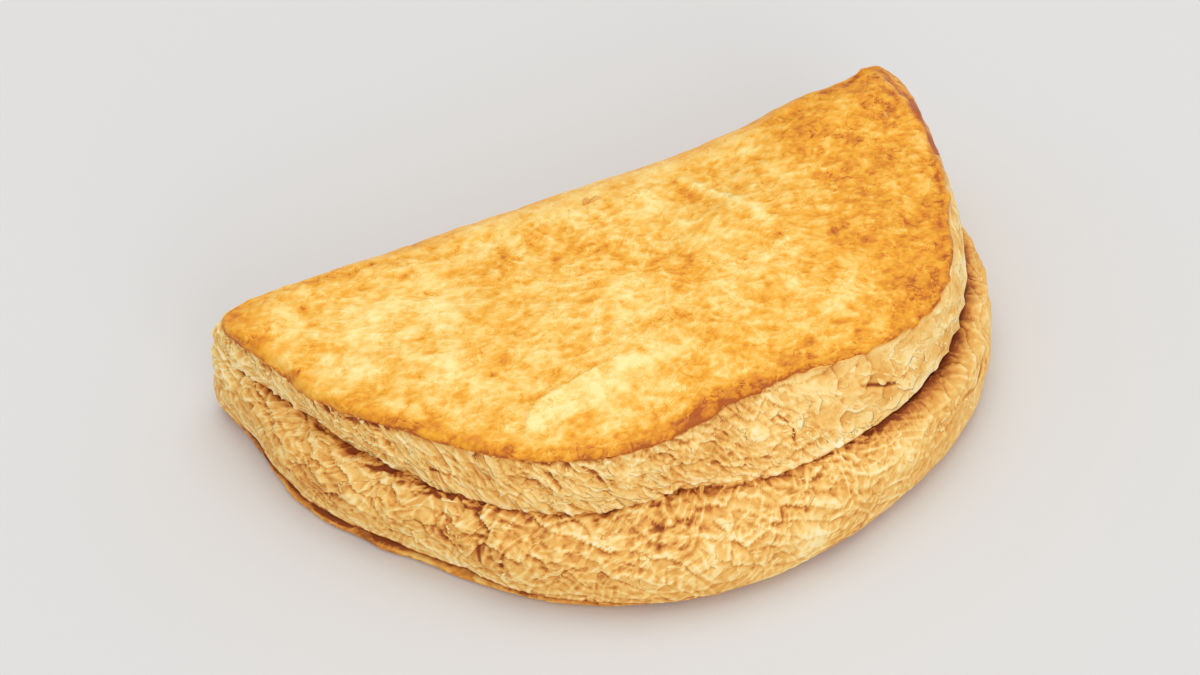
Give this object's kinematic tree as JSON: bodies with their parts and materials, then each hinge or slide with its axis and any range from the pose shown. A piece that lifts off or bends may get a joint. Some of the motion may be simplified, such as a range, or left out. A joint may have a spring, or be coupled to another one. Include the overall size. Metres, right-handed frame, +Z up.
{
  "type": "cheese pie",
  "caption": "Half-moon puff-pastry cheese pie, folded along its straight back, with a glazed golden top and a flaky cut side split by a dark seam; a baked snack to set on a plate or tray.",
  "frame": {"origin": "under the middle of the pie's box, on the plane that it rests on", "axes": "+Z up; +X along the straight fold, towards the end that is thicker; the curved cut front faces -Y and the fold is at +Y"},
  "size_m": [0.161, 0.0972, 0.0374],
  "materials": {
    "baked_pastry": "baked puff pastry: smooth egg-washed golden top mottled from pale yellow to orange, with a browned rim; craggy flaky beige cut side with dark red-brown gaps"
  },
  "bodies": {
    "root": {"cheese_pie": "baked_pastry"}
  },
  "joints": []
}
